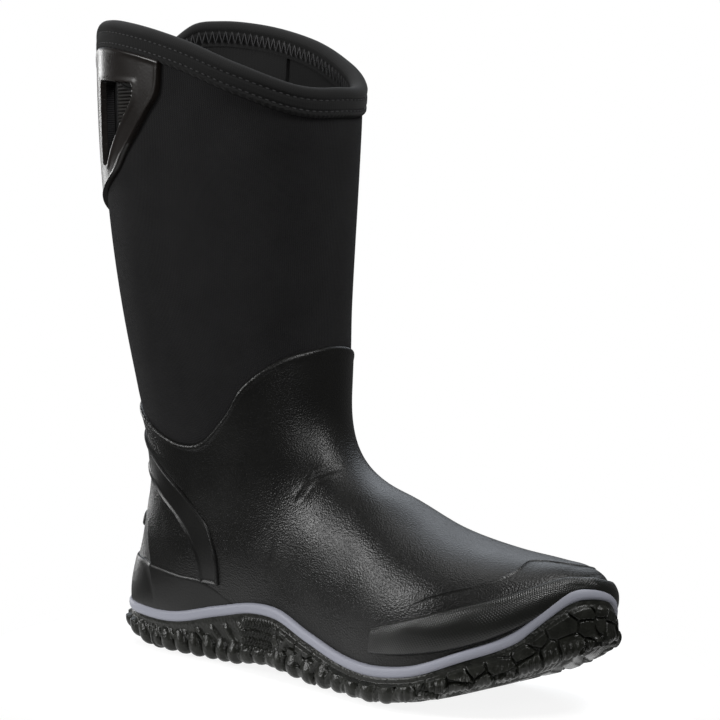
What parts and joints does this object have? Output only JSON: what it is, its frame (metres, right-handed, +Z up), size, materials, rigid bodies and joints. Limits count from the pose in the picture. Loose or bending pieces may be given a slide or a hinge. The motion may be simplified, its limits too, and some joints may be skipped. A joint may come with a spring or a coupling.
{
  "type": "pull-on rubber boot",
  "caption": "Right foot waterproof pull-on boot: ribbed-toe rubber foot on a lugged sole, mid-calf neoprene shaft with pull-on slots and a bound collar, lift-out footbed.",
  "frame": {"origin": "middle of the boot's box in X and Y, on the ground under the tread", "axes": "+X toward the toe, -Y toward the outer side of the right foot, +Z up the shaft"},
  "size_m": [0.3362, 0.1146, 0.3385],
  "materials": {
    "outsole_rubber": "moulded, half gloss",
    "stripe_rubber": "calendered, satin",
    "midsole_foam": "foamed, matt",
    "shank_steel": "cold rolled",
    "fibre_board": "pressed cellulose fibre",
    "neoprene": "jersey-faced neoprene foam, matt",
    "lining_jersey": "brushed knit, matt",
    "footbed_foam": "open-cell foam, matt",
    "footbed_cloth": "knitted cover, matt",
    "upper_rubber": "fine pebble, satin",
    "ribbed_rubber": "finely ribbed, satin",
    "handle_rubber": "smooth, half gloss",
    "binding_tape": "knitted elastic tape, stitched"
  },
  "bodies": {
    "boot": {"outsole": "outsole_rubber", "foxing_stripe": "stripe_rubber", "midsole": "midsole_foam", "shank": "shank_steel", "insole_board": "fibre_board", "foot_bootie": "neoprene", "foot_lining": "lining_jersey", "toe_puff": "fibre_board", "heel_stiffener": "fibre_board", "foot_shell": "upper_rubber", "toe_cap": "upper_rubber", "toe_bumper": "ribbed_rubber", "heel_band": "upper_rubber", "heel_strap": "upper_rubber", "heel_badge": "ribbed_rubber", "shaft_neoprene": "neoprene", "shaft_lining": "lining_jersey", "handle_panel": "handle_rubber", "inner_handle_panel": "ribbed_rubber", "back_seam_tape": "binding_tape", "collar_binding": "binding_tape"},
    "footbed": {"footbed_foam": "footbed_foam", "footbed_cover": "footbed_cloth"}
  },
  "joints": [
    {"name": "footbed_lift", "type": "hinge", "parent": "boot", "child": "footbed", "pos_m": [0.1475, 0, 0.05], "axis": [0, 1, 0], "range_deg": [0, 3]}
  ]
}
